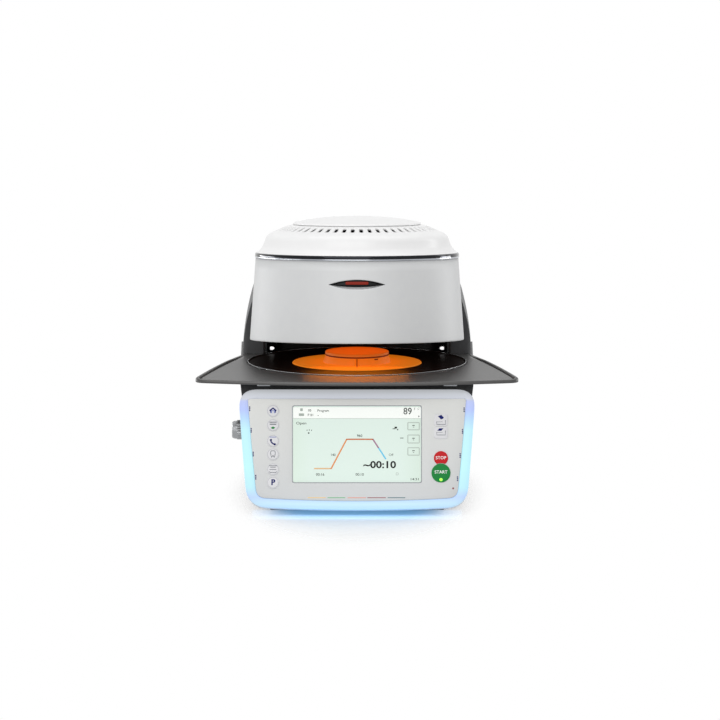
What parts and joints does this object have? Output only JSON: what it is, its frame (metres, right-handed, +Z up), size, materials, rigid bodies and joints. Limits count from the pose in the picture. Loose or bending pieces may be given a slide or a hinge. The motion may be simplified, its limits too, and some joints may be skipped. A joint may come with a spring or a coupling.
{
  "type": "dental lab furnace",
  "caption": "Tabletop dental ceramic furnace: tilting round firing head over a cooling tray, with a leaning touch screen panel.",
  "frame": {"origin": "middle of the furnace's bounding box, on the surface its feet stand on", "axes": "+X to the user's right, +Y to the back, +Z up; the control panel faces -Y"},
  "size_m": [0.395, 0.44, 0.3459],
  "materials": {
    "feet_rubber": "matte",
    "pan_steel": "satin",
    "body_black": "matte",
    "panel_white": "satin",
    "ring_diffuser": "satin",
    "plate_grey": "satin",
    "screen_glass": "gloss",
    "board_green": "satin",
    "display_metal": "satin",
    "key_cap": "satin",
    "key_red": "satin",
    "key_green": "satin",
    "tray_anthracite": "satin",
    "insert_black": "gloss",
    "bright_steel": "satin",
    "firebrick": "matte",
    "table_ceramic": "matte",
    "tower_anthracite": "satin",
    "liner_black": "gloss",
    "bush_brass": "satin",
    "gear_steel": "satin",
    "motor_steel": "satin",
    "fitting_chrome": "polished",
    "hose_silicone": "satin",
    "skirt_silver": "satin",
    "trim_chrome": "polished",
    "cover_white": "satin",
    "bezel_black": "gloss",
    "lens_red": "gloss",
    "ring_dark": "satin",
    "seal_silicone": "satin",
    "quartz": "satin",
    "coil_alloy": "satin",
    "wool_white": "matte",
    "neck_cast": "satin",
    "probe_ceramic": "matte",
    "fan_black": "matte",
    "inlet_black": "matte"
  },
  "bodies": {
    "base": {"rubber_feet": "feet_rubber", "base_pan": "pan_steel", "base_housing": "body_black", "rear_panel": "pan_steel", "panel_housing": "panel_white", "light_ring": "ring_diffuser", "face_plate": "plate_grey", "screen_glass": "screen_glass", "display_module": "display_metal", "panel_boards": "board_green", "cooling_tray": "tray_anthracite", "tray_insert": "insert_black", "tray_brackets": "bright_steel", "insulation_disc": "firebrick", "insulation_cup": "bright_steel", "firing_table": "table_ceramic", "tower_shell": "tower_anthracite", "tower_back": "tower_anthracite", "tower_liner": "liner_black", "hinge_brackets": "bright_steel", "hinge_bushes": "bush_brass", "gear_motor": "motor_steel", "power_supply": "bright_steel", "main_board": "board_green", "vacuum_valve": "motor_steel", "vacuum_hoses": "hose_silicone", "hose_coupling": "fitting_chrome", "power_entry": "inlet_black", "service_ports": "bright_steel", "fan_frame": "fan_black", "case_screws": "bright_steel"},
    "head": {"hinge_shaft": "gear_steel", "sector_gear": "gear_steel", "head_skirt": "skirt_silver", "status_bezel": "bezel_black", "status_lens": "lens_red", "trim_ring": "trim_chrome", "head_top": "cover_white", "head_cap": "cover_white", "head_plate": "ring_dark", "head_seal": "seal_silicone", "muffle": "quartz", "heating_coil": "coil_alloy", "head_insulation": "wool_white", "thermocouple": "probe_ceramic", "head_neck": "neck_cast"},
    "pinion": {"drive_pinion": "bush_brass"},
    "fan": {"fan_rotor": "fan_black"},
    "switch": {"power_switch": "inlet_black"},
    "key_home": {"key_home": "key_cap"},
    "key_program": {"key_program": "key_cap"},
    "key_service": {"key_service": "key_cap"},
    "key_settings": {"key_settings": "key_cap"},
    "key_list": {"key_list": "key_cap"},
    "key_power_save": {"key_power_save": "key_cap"},
    "key_head_open": {"key_head_open": "key_cap"},
    "key_head_close": {"key_head_close": "key_cap"},
    "key_stop": {"key_stop": "key_red"},
    "key_start": {"key_start": "key_green"}
  },
  "joints": [
    {"name": "head_tilt", "type": "hinge", "parent": "base", "child": "head", "pos_m": [0, 0.164, 0.225], "axis": [-1, 0, 0], "range_deg": [-5, 50]},
    {"name": "pinion_spin", "type": "hinge", "parent": "base", "child": "pinion", "pos_m": [0.083, 0.164, 0.16115], "axis": [-1, 0, 0], "range_deg": [-234, 24]},
    {"name": "fan_spin", "type": "hinge", "parent": "base", "child": "fan", "pos_m": [0, 0.195, 0.092], "axis": [0, 1, 0], "continuous": true},
    {"name": "switch_rock", "type": "hinge", "parent": "base", "child": "switch", "pos_m": [0.103, 0.2085, 0.05], "axis": [-1, 0, 0], "range_deg": [0, 14]},
    {"name": "key_home_press", "type": "slide", "parent": "base", "child": "key_home", "axis": [0, 0.9659, -0.2588], "range_m": [0, 0.0008], "stiffness_N_per_m": 900},
    {"name": "key_program_press", "type": "slide", "parent": "base", "child": "key_program", "axis": [0, 0.9659, -0.2588], "range_m": [0, 0.0008], "stiffness_N_per_m": 900},
    {"name": "key_service_press", "type": "slide", "parent": "base", "child": "key_service", "axis": [0, 0.9659, -0.2588], "range_m": [0, 0.0008], "stiffness_N_per_m": 900},
    {"name": "key_settings_press", "type": "slide", "parent": "base", "child": "key_settings", "axis": [0, 0.9659, -0.2588], "range_m": [0, 0.0008], "stiffness_N_per_m": 900},
    {"name": "key_list_press", "type": "slide", "parent": "base", "child": "key_list", "axis": [0, 0.9659, -0.2588], "range_m": [0, 0.0008], "stiffness_N_per_m": 900},
    {"name": "key_power_save_press", "type": "slide", "parent": "base", "child": "key_power_save", "axis": [0, 0.9659, -0.2588], "range_m": [0, 0.0008], "stiffness_N_per_m": 900},
    {"name": "key_head_open_press", "type": "slide", "parent": "base", "child": "key_head_open", "axis": [0, 0.9659, -0.2588], "range_m": [0, 0.0008], "stiffness_N_per_m": 900},
    {"name": "key_head_close_press", "type": "slide", "parent": "base", "child": "key_head_close", "axis": [0, 0.9659, -0.2588], "range_m": [0, 0.0008], "stiffness_N_per_m": 900},
    {"name": "key_stop_press", "type": "slide", "parent": "base", "child": "key_stop", "axis": [0, 0.9659, -0.2588], "range_m": [0, 0.0008], "stiffness_N_per_m": 900},
    {"name": "key_start_press", "type": "slide", "parent": "base", "child": "key_start", "axis": [0, 0.9659, -0.2588], "range_m": [0, 0.0008], "stiffness_N_per_m": 900}
  ],
  "couplings": [
    {"joint": "pinion_spin", "follows": "head_tilt", "ratio": -4.6667}
  ]
}
